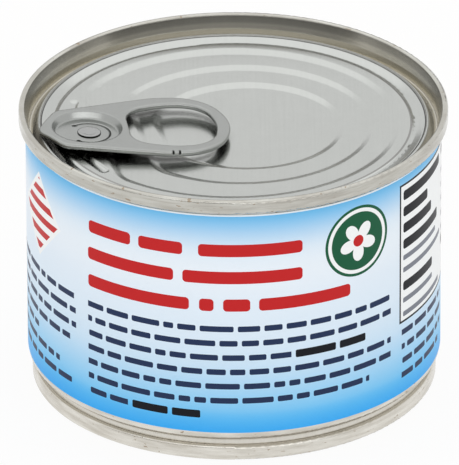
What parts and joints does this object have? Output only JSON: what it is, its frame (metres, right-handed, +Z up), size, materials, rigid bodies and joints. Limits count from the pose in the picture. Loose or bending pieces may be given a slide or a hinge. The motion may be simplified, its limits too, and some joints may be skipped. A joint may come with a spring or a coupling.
{
  "type": "food can",
  "caption": "Low round tin of table cream with an easy-open stepped lid, ring-pull tab, wrapped paper sleeve and a necked-in foot that stacks",
  "frame": {"origin": "centre of the ring that the can stands on, on the ground", "axes": "+Z up along the can's axis, +X to the right and -Y towards whoever faces the printed front"},
  "size_m": [0.076, 0.076, 0.052],
  "materials": {
    "tinplate": "satin",
    "lid_sheet": "satin",
    "tab_sheet": "satin",
    "sleeve": "semi_gloss"
  },
  "bodies": {
    "root": {"can_body": "tinplate", "base_end": "tinplate", "lid": "lid_sheet", "pull_tab": "tab_sheet", "label": "sleeve"}
  },
  "joints": []
}
